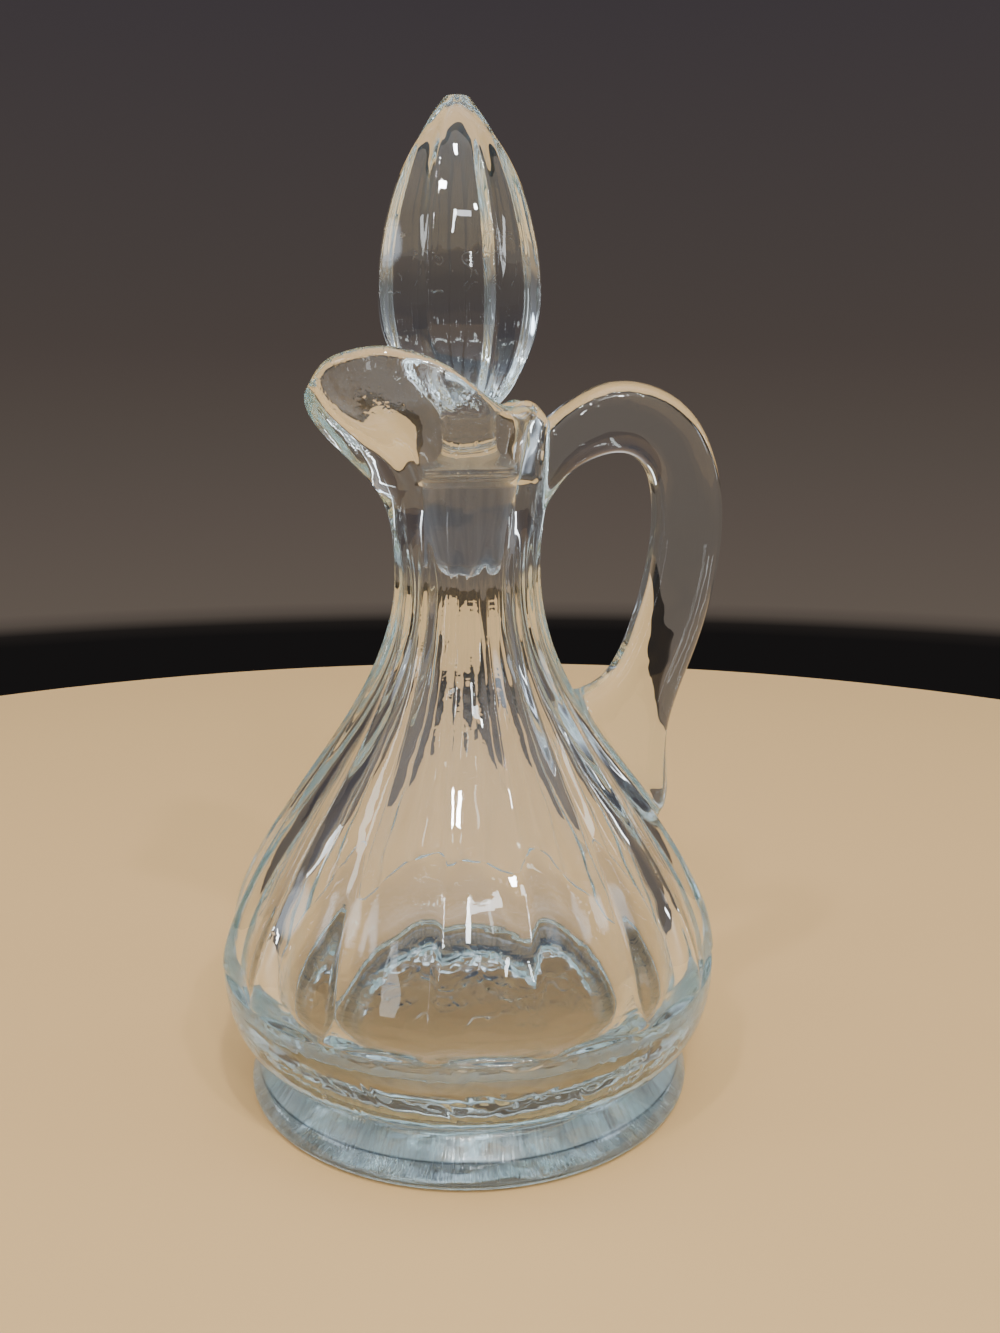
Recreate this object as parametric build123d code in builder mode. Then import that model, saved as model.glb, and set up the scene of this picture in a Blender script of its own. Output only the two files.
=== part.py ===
from build123d import *
import os
from math import cos, pi, radians, sin

# Pressed-glass cruet bottle: a fluted, footed bottle with a pouring spout, its handle,
# and a lift-out glass stopper. Millimetres, +Z up, origin at the centre of the foot on the
# surface it stands on. The handle is towards +X and the spout towards -X.

# Foot and the smooth band over it
foot_diameter = 80.0
foot_top_diameter = 77.4    # the foot's side leans in a little
foot_height = 4.6
foot_rounding = 1.6
foot_slope = 4.0            # the foot's top climbs this much to the waist
waist_diameter = 71.2
band_diameter = 88.0        # at the ledge under the flutes
band_bulge = 2.4            # the band swells this far past a straight slope
recess_diameter = 64.0      # hollow under the foot
recess_depth = 1.5

# Fluted bowl and neck
ledge_height = 24.5
ledge_step = 0.4            # the ridges between the flutes stand proud of the band
flute_count = 16
belly_flute_depth = 1.3
neck_flute_depth = 0.45
neck_diameter = 25.2
neck_height = 92.0          # the bowl has drawn in to the neck here
shoulder_bias = 0.935       # below 1 the bowl draws in earlier
belly_wall = 4.2
neck_wall = 4.4
neck_sag = 1.5              # extra glass that has sagged under the neck
sag_drop = 48.0             # the sag begins this far below the neck
sag_lean = 1.3              # above 1 the sag is thickest nearer to the neck
sag_taper = 1.5             # above 1 the sag thins out sooner at both ends
floor_height = 13.0         # thick glass under the cavity
floor_diameter = 46.0       # flat part of the cavity's floor
cavity_corner_height = 14.0

# Mouth and spout; each rise is counted from the start of the flare
neck_length = 9.0           # from the bowl's end to the flare
spout_rise = 21.0           # the spout has its full reach here
spout_reach = 26.8
spout_bias = 1.15           # above 1 the spout flares later
crest_rise = 28.5           # top of the spout's sides
crest_inset = 12.3          # the crest lies this far in from the spout's reach
lip_front_rise = 26.1       # the lip rounds over to the crest through this point
lip_front_inset = 2.2
mouth_diameter = 28.2
mouth_rise = 15.0
dip_reach = 2.6             # the rim is this far along its fall to the handle's side
dip_share = 0.4
rim_rise = 19.2             # lowest part of the rim, beside the handle
rim_inset = 7.8
bump_rise = 20.2            # the rim ends in a thumb bump over the handle
bump_inset = 3.5
bump_fall = 4.5
lip_wall = 3.6
throat_wall = 3.8
throat_rise = 23.0          # the throat has opened to its full width here
throat_bias = 0.9           # below 1 the throat opens earlier
notch_radius = 6.0          # pouring notch in the lip
notch_rise = 23.0
lip_rounding = 1.4

# Stopper
plug_length = 15.7
plug_standing = 2.5         # the plug stands this far out of its seat
plug_diameter = 17.6
plug_end_diameter = 12.2
plug_tip_length = 2.4
plug_tip_diameter = 9.6
shoulder_height = 2.4
shank_diameter = 9.4
shank_length = 8.0          # from the plug to the finial
finial_diameter = 26.2      # across its flats
finial_swell_height = 19.0  # from the shank to its widest level
finial_point_height = 30.9  # from there to its tip
finial_tip_diameter = 3.6
finial_swell = 0.6          # below 1 the finial swells sooner over the shank
finial_bluntness = 0.85     # lower is blunter
finial_facets = 8

# Seat of the stopper in the throat
seat_rise = 7.0
seat_length = 4.0
seat_clearance = 0.06
seat_edge = 0.4             # the throat is this much wider than the top of the seat
seat_shelf = 9.0            # the neck's bore narrows to the seat over this height

# Handle
handle_width = 10.4
handle_thickness = 12.0
handle_rounding = 4.4       # edges of the bar's flattened sides
handle_reach = 44.0
handle_rise = 4.2           # top of the handle over the rim beside it
handle_side_drop = 20.4     # the bar stands out furthest this far below its top
arm_end_drop = 3.8          # top of the arm's end on the neck, below the rim
arm_end_height = 16.5
root_foot_rise = 21.5       # the root's lowest point on the bowl, over the ledge
root_rise = 38.5            # the bar begins to spread onto the bowl
root_waist = 1.7            # the bar draws in this much over the root
root_spread = 5.0           # the root is rounded over this height at its foot
root_sink = 2.5             # the root's end lies this deep under the bowl's outside
gap_foot_rise = 46.5        # the finger gap's lowest point, over the ledge
gap_foot_width = 4.6
gap_foot_slope = 2.0

# Middle of the arm: share of its reach, drop below its top, and lean of its section
arm_bends = ((0.16, 3.6, 90), (0.44, 0.0, 88), (0.71, 0.7, 66), (0.91, 5.5, 42))
# Middle of the bar below: share of its fall to the root, inset from its reach, and lean
bar_bends = ((0.0, 0.0, 14), (0.225, 0.3, -6), (0.483, 2.5, -15), (0.708, 5.8, -25))

foot_radius = foot_diameter / 2
foot_top_radius = foot_top_diameter / 2
recess_radius = recess_diameter / 2
band_radius = band_diameter / 2
belly_radius = band_radius + ledge_step
neck_radius = neck_diameter / 2
mouth_radius = mouth_diameter / 2
waist_height = foot_height + foot_slope
cut_margin = 1.0            # cutting shapes run this far past what they cut

spout_start = neck_height + neck_length
mouth_level = spout_start + mouth_rise
spout_level = spout_start + spout_rise
throat_level = spout_start + throat_rise
crest_height = spout_start + crest_rise
rim_height = spout_start + rim_rise
seat_top = spout_start + seat_rise
plug_top = seat_top + plug_standing
shank_height = plug_top + shank_length
finial_level = shank_height + finial_swell_height
finial_top = finial_level + finial_point_height
handle_top = rim_height + handle_rise
handle_side_level = handle_top - handle_side_drop
root_foot_level = ledge_height + root_foot_rise
root_level = ledge_height + root_rise
gap_foot_level = ledge_height + gap_foot_rise
sky = crest_height + 3 * cut_margin


def ease(share):
    """Goes smoothly from 0 to 1 as share does, and stays there."""
    share = min(max(share, 0.0), 1.0)
    return (1 - cos(pi * share)) / 2


def mix(start, end, share):
    return start + (end - start) * share


def steps(start, end, count):
    return [mix(start, end, index / count) for index in range(count + 1)]


def drawn_in(height):
    """How far the bowl has drawn in to the neck at this height, from 0 to 1."""
    share = (height - ledge_height) / (neck_height - ledge_height)
    return ease(max(share, 0.0) ** shoulder_bias)


def outer_side(height):
    """Radius over the ridges, to the sides and towards the handle."""
    bowl = mix(belly_radius, neck_radius, drawn_in(height))
    flare = ease((height - neck_height) / (mouth_level - neck_height))
    return bowl + (mouth_radius - neck_radius) * flare


def outer_reach(height):
    """Distance from the axis to the outside of the spout."""
    share = (height - spout_start) / (spout_level - spout_start)
    spout = ease(max(share, 0.0) ** spout_bias)
    return mix(outer_side(height), spout_reach, spout)


def wall(height):
    """Thickness of the glass, which has sagged a little under the neck."""
    share = min(max((height - neck_height + sag_drop) / sag_drop, 0.0), 1.0)
    sag = neck_sag * sin(pi * share ** sag_lean) ** sag_taper
    return mix(belly_wall, neck_wall, drawn_in(height)) + sag


def flute_depth(height):
    """The flutes grow shallow up the bowl and run out under the spout."""
    fade = 1 - ease((height - neck_height) / (spout_start - neck_height))
    return mix(belly_flute_depth, neck_flute_depth, drawn_in(height)) * fade


def fluted_outline(radius, depth):
    """A ring of hollow arcs from ridge to ridge; with no depth they lie on the circle."""
    step = 2 * pi / flute_count
    for index in range(flute_count):
        ridge = (index + 0.5) * step
        middle = ridge + step / 2
        after = ridge + step
        ThreePointArc(
            (radius * cos(ridge), radius * sin(ridge)),
            ((radius - depth) * cos(middle), (radius - depth) * sin(middle)),
            (radius * cos(after), radius * sin(after)),
        )


def spouted_outline(side, reach):
    """Half a circle towards the handle and half an ellipse out to the spout."""
    CenterArc((0, 0), side, -90, 180)
    EllipticalCenterArc((0, 0), reach, side, 90, arc_size=180)


# Outside of the bottle, still solid
with BuildPart() as body:
    for level in steps(ledge_height, neck_height, 9) + [spout_start]:
        with BuildSketch(Plane.XY.offset(level)):
            with BuildLine():
                fluted_outline(outer_side(level), flute_depth(level))
            make_face()
    loft()
    for level in steps(spout_start, sky, 9):
        with BuildSketch(Plane.XY.offset(level)):
            with BuildLine():
                spouted_outline(outer_side(level), outer_reach(level))
            make_face()
    loft()
    # Foot and band
    foot_edge = (foot_top_radius, foot_height)
    waist = (waist_diameter / 2, waist_height)
    ledge = (band_radius, ledge_height)
    bulge = (mix(waist[0], ledge[0], 0.5) + band_bulge, mix(waist[1], ledge[1], 0.5) - band_bulge)
    with BuildSketch(Plane.XZ):
        with BuildLine():
            Polyline((0, ledge_height), (0, 0), (foot_radius, 0), foot_edge, waist)
            ThreePointArc(waist, bulge, ledge)
            Line(ledge, (0, ledge_height))
        make_face()
    revolve(axis=Axis.Z)
    circles = body.edges().filter_by(GeomType.CIRCLE)
    foot_circles = circles.filter_by(lambda edge: edge.bounding_box().max.Z < waist_height - foot_slope / 2)
    fillet(foot_circles, foot_rounding)
    # The rim dips from the spout's crest to the side beside the handle
    with BuildSketch(Plane.XZ.offset(-mouth_diameter)):
        with BuildLine():
            lip_edge = (-spout_reach - cut_margin, spout_level)
            bump = (mouth_radius - bump_inset, spout_start + bump_rise)
            back_edge = (mouth_radius + cut_margin, bump[1] - bump_fall)
            Spline(
                lip_edge,
                (-spout_reach + lip_front_inset, spout_start + lip_front_rise),
                (-spout_reach + crest_inset, crest_height),
                (-dip_reach, mix(crest_height, rim_height, dip_share)),
                (mouth_radius - rim_inset, rim_height),
                bump,
                back_edge,
            )
            above = sky + cut_margin
            Polyline(back_edge, (back_edge[0], above), (lip_edge[0], above), lip_edge)
        make_face()
    extrude(amount=2 * mouth_diameter, mode=Mode.SUBTRACT)

# The bottle is pressed and blown in one piece: foot, bowl, neck and spout.
plug_slope = (plug_diameter - plug_end_diameter) / 2 / plug_length
seat_radius = plug_diameter / 2 - plug_slope * (plug_top - seat_top) + seat_clearance
seat_foot = seat_top - seat_length
seat_foot_radius = seat_radius - plug_slope * seat_length
corner_height = floor_height + cavity_corner_height

with BuildPart() as bottle:
    add(body.part)
    # Shallow hollow under the foot
    with BuildSketch(Plane.XZ):
        with BuildLine():
            Polyline((recess_radius, 0), (0, 0), (0, recess_depth))
            TangentArc((0, recess_depth), (recess_radius, 0), tangent=(1, 0))
        make_face()
    revolve(axis=Axis.Z, mode=Mode.SUBTRACT)
    # Cavity of the bowl and neck, with the stopper's seat in the throat
    with BuildSketch(Plane.XZ):
        with BuildLine():
            floor_edge = (floor_diameter / 2, floor_height)
            levels = steps(corner_height, neck_height, 8)
            inside = [(outer_side(level) - wall(level), level) for level in levels]
            bore_radius = inside[-1][0]
            Polyline((0, seat_top), (0, floor_height), floor_edge)
            Spline(floor_edge, inside[0], tangents=((1, 0), (0, 1)))
            Spline(*inside, tangents=((0, 1), (0, 1)))
            Polyline(
                inside[-1],
                (bore_radius, seat_foot - seat_shelf),
                (seat_foot_radius, seat_foot),
                (seat_radius, seat_top),
                (0, seat_top),
            )
        make_face()
    revolve(axis=Axis.Z, mode=Mode.SUBTRACT)
    # Throat and the spout's trough
    throat_radius = seat_radius + seat_edge
    for level in steps(seat_top, sky, 10):
        opened = ease(((level - seat_top) / (throat_level - seat_top)) ** throat_bias)
        side = mix(throat_radius, outer_side(level) - throat_wall, opened)
        reach = mix(throat_radius, outer_reach(level) - lip_wall, opened)
        with BuildSketch(Plane.XY.offset(level)):
            with BuildLine():
                spouted_outline(side, reach)
            make_face()
    loft(mode=Mode.SUBTRACT)
    # Pouring notch
    notch_start = spout_reach + 2 * cut_margin
    with BuildSketch(Plane.YZ.offset(-notch_start)):
        with Locations((0, spout_start + notch_rise + notch_radius)):
            Circle(notch_radius)
    extrude(amount=2 * cut_margin + crest_inset, mode=Mode.SUBTRACT)
    rim_edges = bottle.edges().filter_by(lambda edge: edge.bounding_box().min.Z > seat_top + cut_margin)
    fillet(rim_edges, lip_rounding)

# The handle is a bent bar of glass. Its arm joins the neck, and its root spreads down the bowl.
bar_reach = handle_reach - handle_thickness / 2
bar_top = handle_top - handle_thickness / 2
bar_fall = handle_side_level - root_level
buried_reach = neck_radius - neck_wall + cut_margin
gap_end_reach = outer_side(gap_foot_level)
root_end_reach = outer_side(root_foot_level)


def bar_section(x, z, lean):
    """Outer and inner end of the bar's section about a point on its middle line."""
    half_x = handle_thickness / 2 * cos(radians(lean))
    half_z = handle_thickness / 2 * sin(radians(lean))
    return (x + half_x, z + half_z), (x - half_x, z - half_z)


arm_end_level = rim_height - arm_end_drop
neck_end = ((buried_reach, arm_end_level), (buried_reach, arm_end_level - arm_end_height))
arm = [
    bar_section(mix(neck_radius, bar_reach, share), bar_top - drop, lean)
    for share, drop, lean in arm_bends
]
bar = [
    bar_section(bar_reach - inset, handle_side_level - bar_fall * share, lean)
    for share, inset, lean in bar_bends
]
bar_foot_reach = bar[-1][0][0]
waist_reach = mix(bar_foot_reach, root_end_reach, 0.5) - root_waist
root = [
    ((waist_reach, root_level), (gap_end_reach + gap_foot_width, gap_foot_level + gap_foot_slope)),
    ((root_end_reach, root_foot_level + root_spread), (gap_end_reach, gap_foot_level)),
    (
        (root_end_reach - root_sink, root_foot_level - root_spread),
        (gap_end_reach - root_spread, gap_foot_level - root_sink),
    ),
]

with BuildPart() as handle:
    for outer_end, inner_end in [neck_end, *arm, *bar, *root]:
        outer_point = Vector(outer_end[0], 0, outer_end[1])
        inner_point = Vector(inner_end[0], 0, inner_end[1])
        across = outer_point - inner_point
        section = Plane(
            origin=(outer_point + inner_point) / 2,
            x_dir=across,
            z_dir=across.cross(Vector(0, 1, 0)),
        )
        with BuildSketch(section):
            RectangleRounded(across.length, handle_width, handle_rounding)
    loft()
    add(body.part, mode=Mode.SUBTRACT)

# The stopper is one piece: faceted finial, shank, shoulder and ground plug.
finial_radius = finial_diameter / 2
finial_tip_radius = finial_tip_diameter / 2
shank_radius = shank_diameter / 2
plug_end = plug_top - plug_length
shoulder_top = plug_top + shoulder_height


def finial_half_width(height):
    """Eases out from the shank, then closes to a blunt point."""
    if height < finial_level:
        share = (height - shank_height) / (finial_level - shank_height)
        return mix(shank_radius, finial_radius, ease(share ** finial_swell))
    share = (height - finial_level) / (finial_top - finial_level)
    closed = 1 - (finial_tip_radius / finial_radius) ** (1 / finial_bluntness)
    return finial_radius * (1 - closed * share * share) ** finial_bluntness


with BuildPart() as stopper:
    # Each pass narrows the finial to one more pair of opposite panels
    for index in range(finial_facets // 2):
        turn = 360 / finial_facets * index
        mode = Mode.INTERSECT if index else Mode.ADD
        facet_plane = Plane.XZ.rotated((0, 0, turn))
        with BuildSketch(facet_plane.offset(-finial_diameter)):
            with BuildLine():
                levels = steps(shank_height, finial_level, 4) + steps(finial_level, finial_top, 6)[1:]
                side = [(finial_half_width(level), level) for level in levels]
                Spline(*side)
                Polyline(side[-1], (0, finial_top), (0, shank_height), side[0])
            make_face()
            mirror(about=Plane.YZ)
        extrude(amount=2 * finial_diameter, mode=mode)
    with BuildSketch(Plane.XZ):
        with BuildLine():
            shank_top = (shank_radius, shank_height + cut_margin)
            Polyline(
                (0, shank_height + cut_margin),
                (0, plug_end - plug_tip_length),
                (plug_tip_diameter / 2, plug_end - plug_tip_length),
                (plug_end_diameter / 2, plug_end),
                (plug_diameter / 2, plug_top),
            )
            Spline(
                (plug_diameter / 2, plug_top),
                (shank_radius, shoulder_top),
                shank_top,
                tangents=((0, 1), (0, 1)),
            )
            Line(shank_top, (0, shank_height + cut_margin))
        make_face()
    revolve(axis=Axis.Z)

bottle.part.label = "bottle"
handle.part.label = "handle"
stopper.part.label = "stopper"

os.makedirs("parts", exist_ok=True)
export_step(bottle.part, "parts/bottle.step")
export_step(handle.part, "parts/handle.step")
export_step(stopper.part, "parts/stopper.step")
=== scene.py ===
from math import atan2, cos, degrees, hypot, pi, radians, sin

import bmesh
import bpy
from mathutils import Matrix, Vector
from mathutils.bvhtree import BVHTree
from mathutils.kdtree import KDTree


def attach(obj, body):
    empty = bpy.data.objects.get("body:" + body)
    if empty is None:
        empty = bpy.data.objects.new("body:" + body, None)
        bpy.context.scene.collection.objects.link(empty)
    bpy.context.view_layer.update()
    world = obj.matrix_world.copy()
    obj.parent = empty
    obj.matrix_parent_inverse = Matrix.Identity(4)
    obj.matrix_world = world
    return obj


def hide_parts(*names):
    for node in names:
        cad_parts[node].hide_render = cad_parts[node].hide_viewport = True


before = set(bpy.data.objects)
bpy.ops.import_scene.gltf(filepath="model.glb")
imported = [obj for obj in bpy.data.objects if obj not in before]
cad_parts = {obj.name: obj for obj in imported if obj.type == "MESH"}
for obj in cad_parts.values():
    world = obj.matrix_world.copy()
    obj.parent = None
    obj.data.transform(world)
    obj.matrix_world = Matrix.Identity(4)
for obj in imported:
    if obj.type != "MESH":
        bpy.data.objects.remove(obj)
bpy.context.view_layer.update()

mm = 0.001

# Camera, as far from the foot and as high as the photograph was taken
camera_place = Vector((-14.78, -212.46, 122.9)) * mm
camera_pitch = 77.53            # degrees up from straight down
camera_turn = -5.5
lens = 33.76

# Foot, band and ledge, in millimetres like all the sizes of the glass
foot_radius = 40.0
foot_top_radius = 38.7
foot_height = 4.6
recess_radius = 32.0
recess_depth = 1.5
recess_rings = (6, 14, 22, 29, 31.8)
waist = (35.6, 8.6)
foot_profile = (
    (33.6, 0.0), (37.6, 0.0), (39.2, 0.15), (39.9, 0.8), (foot_radius, 1.8), (39.3, 3.4),
    (foot_top_radius + 0.15, foot_height - 0.35), (foot_top_radius - 0.3, foot_height + 0.3),
    (37.4, 6.1), (36.3, 7.4), (waist[0] + 0.1, waist[1] - 0.45), (waist[0] + 0.15, waist[1] + 0.2),
)
band_belly = (44.6, 11.6)       # the band's curve is drawn towards this point
band_shares = (0.16, 0.32, 0.48, 0.64, 0.8, 0.92)
ledge = (44.0, 24.5)
ledge_edge = ((ledge[0] + 0.05, ledge[1] - 0.5), (ledge[0], ledge[1] - 0.05))

# Fluted bowl and neck
flute_count = 16
flute_shape = ((0, 1.0), (1, 0.75))     # columns from a flute's middle, and share of its depth
belly_radius = 44.4
belly_flute_depth = 1.75
neck_flute_depth = 0.75
neck_radius = 12.6
neck_height = 92.0
shoulder_bias = 0.935
ledge_rings = (24.75, 25.6, 28.4)
bowl_start = 33
neck_end_level = 96.5
ridge_sharpness = 0.45

# Cavity
belly_wall = 4.2
neck_wall = 4.4
neck_sag = 1.5                  # extra glass that has sagged under the neck
sag_foot = 44.0
sag_lean = 1.3
sag_taper = 1.5
floor_height = 13.0
floor_radius = 23.0
floor_rings = (15.0, 7.0)
cavity_corner_height = 14.0
corner_turns = (72, 54, 36, 18, 0)

# Mouth, spout and rim
spout_start = 101.0
spout_level = 122.0
spout_reach = 26.8
spout_bias = 1.15
mouth_radius = 14.1
mouth_level = 116.0
flare_end = 119.5
throat_top = 124.0
throat_levels = (120.5, 117.5, 115, 112.8, 110.8, 109.2)
throat_edge = 0.4               # the throat is this much wider than the top of the seat
throat_bias = 0.9
throat_wall = 3.8
lip_wall = 3.6
lip_level = 124.0

# Across the lip: inset from its outside, and height over its level
lip_round = ((0.0, -2.4), (0.0, -1.1), (0.7, 0.0), (1.8, 0.35), (2.9, 0.0), (3.6, -1.1))

# Along the rim, from the spout to the handle: place on the X axis, and level
rim_line = (
    (-26.8, 123.4), (-25.9, 124.8), (-24.0, 127.4), (-20.0, 128.9), (-14.5, 129.5), (-8.0, 128.1),
    (-2.6, 125.8), (1.6, 122.6), (5.2, 120.5), (7.8, 120.2), (10.8, 121.1), (14.1, 118.4),
)

# Seat of the stopper and the plug in it
seat_top = 108.0
seat_foot = 104.0
seat_levels = (seat_top, 107.6, 105.8, seat_foot + 0.3)
seat_shelf = 9.0                # the bore widens from the seat over this height
shelf_shares = (0.15, 0.5, 0.85)
seat_clearance = 0.06
plug_top = 110.5
plug_foot = 94.8
plug_radius = 8.8
plug_foot_radius = 6.1
plug_tip = ((1.4, -2.4), (3.6, -2.3), (5.2, -1.5), (5.9, -0.4))     # radius, and level from its foot
ground_top = 107.6
ground_levels = (plug_foot + 0.4, ground_top)
ring_levels = (ground_top + 0.45, plug_top - 0.3)
ring_depth = 0.22
plug_lobes = ((3, 1.3), (11, 0.8), (18, 1.2), (25, 1.5), (29, 0.6))     # column and height of a dent
lobe_columns = 3
lobe_inset = 0.9

# Stopper above the plug
shoulder_line = (
    (plug_radius - 0.15, plug_top + 0.05), (8.2, 110.9), (7.1, 111.2), (6.0, 111.6),
    (5.25, 112.3), (4.85, 113.2), (4.72, 114.4), (4.7, 116.4),
)
shank_radius = 4.7
shank_height = 118.5
finial_radius = 13.1
finial_level = 137.5
finial_top = 168.4
finial_tip_radius = 1.8
finial_facets = 8
finial_swell = 0.6
finial_bluntness = 0.85
point_start = 165.0
point_levels = (166.2, 167.2, 167.9)
point_round = ((2.1, 168.2), (1.2, finial_top))
panel_shape = ((0, 1.0), (1, 0.8), (2, 0.0))    # columns from a panel's middle, and share of its hollow
panel_hollow = 0.6
panel_fade_in = (116.5, 123.5)
panel_fade_out = (156.0, 166.9)
arris_sharpness = 0.9
arris_end = 6                   # rings from the top where the arrises run out
even_end = 4                    # rings at the top that are left even
finial_lean = 1.2
lean_start = 112.5
lean_end = 134.0

# Handle
handle_width = 10.4
handle_thickness = 12.0
handle_reach = 44.0
handle_top = 124.4
handle_side_level = 104.0
arm_end_reach = 11.3
arm_end_level = 116.4
arm_end_height = 16.5
root_level = 63.0

# Its sections: share of the way, drop or inset, and lean; and the two ends of each one in the root
arm_bends = ((0.16, 3.6, 90), (0.44, 0.0, 88), (0.71, 0.7, 66), (0.91, 5.5, 42))
bar_bends = ((0.0, 0.0, 14), (0.225, 0.3, -6), (0.483, 2.5, -15), (0.708, 5.8, -25))
root_ends = (((35.1, 63.0), (23.5, 73.0)), ((36.0, 51.0), (18.9, 71.0)), ((33.1, 46.0), (16.0, 71.0)))

# Round a section: degrees from its broad side, and how far its corners are drawn out there
section_swell = ((45, (1.14, 1.2)), (22.5, (1.03, 1.2)), (67.5, (1.45, 1.08)))

# Joints of handle and bottle: both surfaces are this near at a seam, and the fillet reaches this far
seam_reach = 0.03
seam_merge = 0.02
fillet_reach = 2.2
fillet_passes = 14

# Meshes, and how uneven the pressed glass is
columns = 64
stopper_columns = 32
handle_columns = 16
weld_reach = 0.001
levels_of_smoothing = 2
outer_wobble = 0.16
spout_wobble = 0.05
inner_wobble = 0.12
finial_wobble = 0.07
lobe_wobble = 0.3

# Glass and its tint
glass_ior = 1.51
glass_tint = (0.72, 0.95, 0.96, 1)
glass_tint_density = 9.0

# Relief of the surfaces: a size and a height, and for contours how many there are between the two
bottle_wave = (6.5, 0.12)
stopper_wave = (5, 0.05)
wrinkle_size = 1 / 6            # of the waves' size
wrinkle_height = 1 / 10         # of the waves' height
patch_size = 2.2                # of the waves' size
smooth_reach = (22, 26)         # the handle has no wrinkles from this far out and this high up
smooth_levels = (root_level - 6, root_level)
grain_size = 0.9
grain_height = 0.03
rim_levels = (spout_level - 4, spout_level)
shank_levels = (shank_height + 4, shank_height + 12)
floor_wave = (9, 0.4)
floor_contours = (11, 12, 0.04)
floor_levels = (floor_height + 2, floor_height + 5)
floor_edge = (floor_radius, floor_radius + 4)
band_contours = (8, 14, 0.022)
band_fade = 2

# Foot: streaks, frost with a painted cyan-white glow on its slope, and painted shadow lines
foot_levels = (waist[1] - 0.6, waist[1] + 0.4)
foot_edge = (recess_radius - 7, recess_radius)
foot_roughness = 0.24
foot_frost_glow = 0.23
# Painted glow: a cyan-white colour that brightens the frosted slope of the foot, as if lit from above
foot_frost_glow_colour = (0.68, 0.93, 1.0, 1)
slope_levels = (foot_height - 0.3, foot_height + 0.1)
foot_side_share = 0.25          # the foot's side has this share of its slope's frost and painted glow
foot_line = (0.5, 0.02)
foot_line_share = 0.7           # this much of the frost and painted glow is only in the fine lines
foot_streak = 2.2
foot_shadow_colour = (0.06, 0.07, 0.09, 1)
foot_shadow = (0.5, 0.2)        # on its side and on its slope
shadow_levels = (foot_height - 0.5, foot_height)
foot_creases = ((foot_height, 0.34, 1.0), (1.35, 0.28, 0.85))     # level, width and depth of shade
seam_place = -4.5
seam_width = 0.3
seam_height = 0.12

# Plug's ground glass, darkened with painted grey shade, and the scratches on the finial
ground_roughness = 0.5
# Painted shade: a dark blue-grey that darkens the plug's ground glass
ground_shade_colour = (0.25, 0.29, 0.37, 1)
ground_foot = (plug_foot - 0.9, plug_foot + 0.3)
ground_edge = (ground_top - 0.2, ground_top + 0.2)
ring_edge = (plug_top, plug_top + 0.4)
ring_share = 0.25               # the rings over the ground glass are this much as rough
plug_frost_shade = 0.16
plug_band = 1.1
plug_band_share = 0.25          # this much of the roughness and of the painted grey shade is only in the upright bands
scratch_levels = (finial_level, finial_level + 11)
scratch_size = 7
scratch_level = 0.52
scratch_width = 0.006
scratch_gap_size = 2.6
scratch_roughness = 0.35
scratch_depth = 0.03

# Floor, the low screen behind it, backdrop and lights
floor_radius_m = 0.35
floor_gap = 0.05                # millimetres under the foot
floor_colour = (0.84, 0.50, 0.20)
screen_start_m = 0.0175         # it stands from this far behind the middle
screen_foot_m = 0.02
screen_top_m = 0.13
screen_colour = (0.105, 0.085, 0.07)
light_bounces = 32

# Behind and before the object: elevation in degrees, and colour
backdrop = (
    (-10.4, (0.010, 0.009, 0.009)),
    (-9.7, (0.125, 0.10, 0.082)),
    (2, (0.075, 0.06, 0.053)),
    (20, (0.045, 0.04, 0.048)),
    (50, (0.06, 0.06, 0.08)),
    (62, (0.55, 0.60, 0.70)),
    (80, (1.9, 2.05, 2.3)),
)
room = (
    (-12, (0.42, 0.30, 0.19)),
    (-8, (0.16, 0.14, 0.13)),
    (28, (0.24, 0.26, 0.31)),
    (60, (0.95, 1.05, 1.2)),
    (80, (1.9, 2.05, 2.3)),
)
backdrop_turn = (0.1, 0.65)     # the room gives way to the backdrop over this share of the way back

# Direction, how many degrees from it the light is full and gone, and its colour
windows = (
    ((-0.93, -0.22, 0.36), 4, 9, (5.0, 5.9, 7.0)),
    ((0.92, -0.28, 0.36), 4, 9, (4.4, 5.2, 6.2)),
)

# Place, width and length in metres, and power
lamps = (
    ((0.12, -0.62, 1.2), (0.06, 0.10), 4.5),
    ((-0.42, -0.6, 1.1), (0.05, 0.12), 2.5),
    ((0.20, -0.95, 0.75), (0.04, 0.20), 1.6),
    ((0.06, -0.80, 0.72), (0.24, 0.04), 0.7),
    ((0.35, -0.75, 0.95), (0.05, 0.05), 2.6),
    ((-0.15, -0.9, 0.85), (0.04, 0.05), 1.6),
    ((-0.05, -1.1, 0.5), (0.03, 0.12), 0.5),
    ((-0.95, 0.34, 0.25), (0.07, 0.6), 0.9),
    ((0.95, 0.42, 0.25), (0.07, 0.6), 0.8),
    ((-0.75, -0.75, 0.3), (0.05, 0.5), 0.4),
)
lamp_aim = Vector((0, 0, 0.08))
lamp_colour = (0.90, 0.96, 1.0)


def ease(share):
    """Goes smoothly from 0 to 1 as share does, and stays there."""
    share = min(max(share, 0.0), 1.0)
    return (1 - cos(pi * share)) / 2


def mix(start, end, share):
    """A value that lies this share of the way from start to end."""
    return start + (end - start) * share


def steps(start, end, count):
    """Evenly spread values from start to end, both included."""
    return [mix(start, end, index / count) for index in range(count + 1)]


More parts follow.
